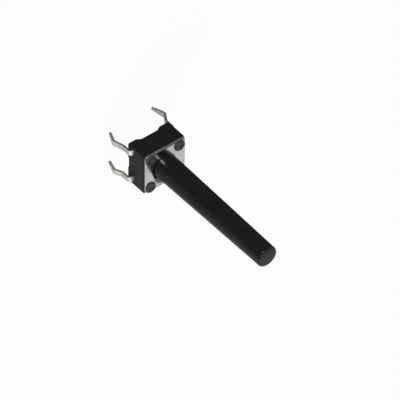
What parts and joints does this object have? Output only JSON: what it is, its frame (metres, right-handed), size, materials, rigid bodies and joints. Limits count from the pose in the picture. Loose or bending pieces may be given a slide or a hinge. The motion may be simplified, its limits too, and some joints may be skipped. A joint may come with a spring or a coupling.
{
  "type": "tactile push button switch",
  "caption": "Square through-hole tactile switch with a riveted steel cover plate, a long tapered round stem and kinked snap-in leads.",
  "frame": {"origin": "centre of the underside, in the plane that sits on the circuit board", "axes": "+Z along the stem, away from the board; the leads leave the sides that face -X and +X"},
  "size_m": [0.0078, 0.006, 0.0252],
  "materials": {
    "housing_plastic": "black moulded plastic, fine matt",
    "cover_steel": "bright rolled stainless sheet",
    "stem_plastic": "black moulded plastic, satin",
    "dome_steel": "spring steel sheet",
    "terminal_metal": "brass sheet plated silvery white"
  },
  "bodies": {
    "housing": {"base": "housing_plastic", "cover_plate": "cover_steel", "contact_dome": "dome_steel", "centre_terminal": "terminal_metal", "rim_terminal": "terminal_metal"},
    "button": {"plunger": "stem_plastic"}
  },
  "joints": [
    {"name": "press", "type": "slide", "parent": "housing", "child": "button", "axis": [0, 0, -1], "range_m": [0, 0.00025], "stiffness_N_per_m": 6400, "deforming": ["contact_dome"]}
  ]
}
